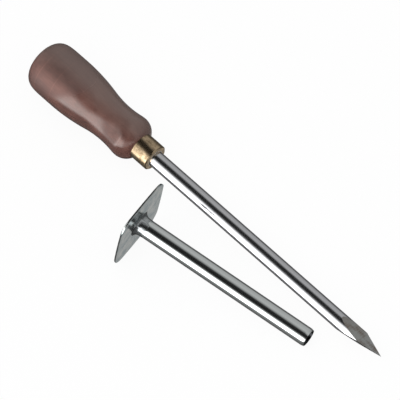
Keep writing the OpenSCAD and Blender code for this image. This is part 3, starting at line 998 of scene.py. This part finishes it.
class TROCAR_OT_stage(bpy.types.Operator):
    """Set up the floor, the soft light and the camera"""
    bl_idname = "trocar.stage"
    bl_label = "Stage"

    def execute(self, context):
        scene = context.scene
        s = scene.trocar_studio
        # Camera: far away with a long lens
        level = math.cos(s.elevation)
        back = Vector((math.sin(s.azimuth) * level, -math.cos(s.azimuth) * level, math.sin(s.elevation)))
        right = Vector((math.cos(s.azimuth), math.sin(s.azimuth), 0))
        up = back.cross(right)
        aim = trocar_place().to_translation() + s.aim_right * right - s.aim_down * up
        data = bpy.data.cameras.new("camera")
        data.lens = s.lens
        data.sensor_width = 36.0
        distance = s.view_width * data.lens / data.sensor_width
        # Far enough for the floor behind the object too
        data.clip_end = 4 * distance
        camera = bpy.data.objects.new("camera", data)
        scene.collection.objects.link(camera)
        camera.matrix_world = (Matrix.Translation(aim + back * distance)
                               @ Matrix((right, up, back)).transposed().to_4x4())
        scene.camera = camera

        # Floor, 8 m square
        half = 4.0
        corners = [(-half, -half, 0), (half, -half, 0), (half, half, 0), (-half, half, 0)]
        mesh = bpy.data.meshes.new("floor")
        mesh.from_pydata(corners, [], [(0, 1, 2, 3)])
        floor = bpy.data.objects.new("floor", mesh)
        scene.collection.objects.link(floor)
        mesh.materials.append(self.floor_finish(s))
        # The tent alone gives the reflections, above the level and below it
        floor.visible_glossy = False

        self.light_world(scene, s)

        # Softbox 0.9 m away, above the near side. Its reflection is the window of the tent
        far, width, height = 0.9, 0.46, 0.8
        lamp = bpy.data.lights.new("softbox", "AREA")
        lamp.shape = "RECTANGLE"
        lamp.size, lamp.size_y = width, height
        lamp.energy = math.pi * lamp.size * lamp.size_y * s.softbox
        box = bpy.data.objects.new("softbox", lamp)
        scene.collection.objects.link(box)
        box.visible_camera = False
        box.visible_glossy = False
        way = Vector((0.0, -0.6, 0.8)).normalized()
        box.matrix_world = Matrix.Translation(way * far) @ way.to_track_quat("Z", "Y").to_matrix().to_4x4()

        scene.view_settings.view_transform = "Standard"
        return {"FINISHED"}

    def floor_finish(self, s):
        """Matt white paper with a fine tooth, evenly lit for the camera, that keeps a soft shadow"""
        finish = bpy.data.materials.new("white_paper")
        finish.use_nodes = True
        tree = finish.node_tree
        tree.nodes.clear()
        # Fibres about 1.1 mm long, 1.5 percent darker than the paper
        fibres = add(tree, NOISE, {"Vector": add(tree, "ShaderNodeTexCoord").outputs["Object"],
                                   "Scale": 900.0, "Detail": 2.0})
        shade = add(tree, RAMP, (fibres,), stops=[(0, tuple(0.985 * c for c in s.floor)), (1, s.floor)])
        paper = add(tree, "ShaderNodeBsdfDiffuse", (shade,))
        white = add(tree, "ShaderNodeEmission", {"Strength": 1.0})
        ray = add(tree, "ShaderNodeLightPath").outputs
        seen = add(tree, MATH, (ray["Is Camera Ray"], ray["Is Transmission Ray"]), operation="MAXIMUM")
        seen = add(tree, MATH, (ray["Is Glossy Ray"], seen), operation="MAXIMUM")
        # Mostly plain white where it is seen, with a little of the lit paper for the shadow
        share_of_white = 0.94
        part = add(tree, MATH, (seen, share_of_white), operation="MULTIPLY")
        both = add(tree, "ShaderNodeMixShader", (part, paper, white))
        add(tree, "ShaderNodeOutputMaterial", {"Surface": both})
        return finish

    def light_world(self, scene, s):
        """Even light from all sides, and for reflections a tent that is dark overhead and bright beside"""
        world = bpy.data.worlds.new("studio")
        scene.world = world
        world.use_nodes = True
        tree = world.node_tree
        tree.nodes.clear()
        way = add(tree, APART, (add(tree, "ShaderNodeTexCoord").outputs["Generated"],)).outputs
        # Lean of a direction from upright towards the near side, which is -Y
        near = add(tree, MATH, (way["Y"], -1.0), operation="MULTIPLY")
        lean = add(tree, MATH, (near, way["Z"]), operation="ARCTAN2")
        # The tent hangs askew. The lean of its edges shifts along the object, from 0.7 radians at one end to
        # -0.4 at the other. The shift turns over between 75 and 105 degrees, and dies out past the far side
        aside = add(tree, RANGE, (way["X"], -1.0, 0.03, -0.67, 0.36))
        upper = add(tree, RANGE, (lean, math.radians(75), math.radians(105), -1.05, 0.75))
        raised = add(tree, RANGE, (lean, math.radians(-80), math.radians(-60), 0.0, 1.0))
        skew = add(tree, MATH, (upper, raised), operation="MULTIPLY")
        card = add(tree, MATH, (aside, skew, lean), operation="MULTIPLY_ADD")
        part = add(tree, RANGE, (card, -math.pi, math.pi, 0.0, 1.0))
        tent = add(tree, RAMP, (part,), stops=[((a + 180) / 360, grey(v)) for a, v in TENT])
        # Its end behind the butt is darker
        ends = add(tree, RANGE, (way["X"], -0.75, -0.5, 0.7, 1.4), interpolation_type="SMOOTHSTEP")
        # The window lies between two leans and two angles along the object. Each of its edges goes from dark
        # to bright between two angles in degrees
        turn = add(tree, MATH, (way["X"],), operation="ARCSINE")
        slant = add(tree, MATH, (lean, 0.15, turn), operation="MULTIPLY_ADD")
        sides = []
        for value, dark, bright in ((lean, 36, 50), (card, 121, 113), (slant, -9, -6), (turn, 30, 20)):
            sides.append(add(tree, RANGE, (value, math.radians(dark), math.radians(bright), 0.0, 1.0),
                             interpolation_type="SMOOTHSTEP"))
        across = add(tree, MATH, (sides[0], sides[1]), operation="MULTIPLY")
        along = add(tree, MATH, (sides[2], sides[3]), operation="MULTIPLY")
        window = add(tree, MATH, (across, along), operation="MULTIPLY")
        strength = add(tree, MATH, (window, s.window, ends), operation="MULTIPLY_ADD")
        mirrored = add(tree, "ShaderNodeBackground", (tent, strength))
        even = add(tree, "ShaderNodeBackground", {"Color": (1, 1, 1, 1), "Strength": s.even})
        white = add(tree, "ShaderNodeBackground", {"Color": (1, 1, 1, 1), "Strength": 1.0})
        ray = add(tree, "ShaderNodeLightPath").outputs
        seen = add(tree, MATH, (ray["Is Camera Ray"], ray["Is Transmission Ray"]), operation="MAXIMUM")
        glossy = add(tree, "ShaderNodeMixShader", (ray["Is Glossy Ray"], even, mirrored))
        full = add(tree, "ShaderNodeMixShader", (seen, glossy, white))
        add(tree, "ShaderNodeOutputWorld", {"Surface": full})


# ---- Panel and registration ----

class TROCAR_PT_panel(bpy.types.Panel):
    """Sizes, colours and pieces of the trocar"""
    bl_label = "Trocar and cannula"
    bl_space_type = "VIEW_3D"
    bl_region_type = "UI"
    bl_category = "Trocar"

    def draw(self, context):
        scene = context.scene
        for group in (scene.trocar_sizes, scene.cannula_sizes, scene.trocar_finishes, scene.trocar_studio):
            column = self.layout.column(align=True)
            for key in group.__annotations__:
                column.prop(group, key)
        for operator in OPERATORS:
            self.layout.operator(operator.bl_idname)


GROUPS = (
    ("trocar_sizes", TrocarSizes),
    ("cannula_sizes", CannulaSizes),
    ("trocar_finishes", Finishes),
    ("trocar_studio", Studio),
)
OPERATORS = (
    TROCAR_OT_handle, TROCAR_OT_ferrule, TROCAR_OT_rod,
    CANNULA_OT_tube, CANNULA_OT_plate, CANNULA_OT_solder, TROCAR_OT_stage,
)


def register():
    for name, group in GROUPS:
        bpy.utils.register_class(group)
        setattr(bpy.types.Scene, name, PointerProperty(type=group))
    for kind in OPERATORS + (TROCAR_PT_panel,):
        bpy.utils.register_class(kind)


def unregister():
    for kind in (TROCAR_PT_panel,) + OPERATORS[::-1]:
        bpy.utils.unregister_class(kind)
    for name, group in GROUPS[::-1]:
        delattr(bpy.types.Scene, name)
        bpy.utils.unregister_class(group)


def main():
    register()
    bpy.ops.trocar.handle()
    bpy.ops.trocar.ferrule()
    bpy.ops.trocar.rod()
    bpy.ops.trocar.cannula_tube()
    bpy.ops.trocar.cannula_plate()
    bpy.ops.trocar.cannula_solder()
    bpy.ops.trocar.stage()


if __name__ == "__main__":
    main()
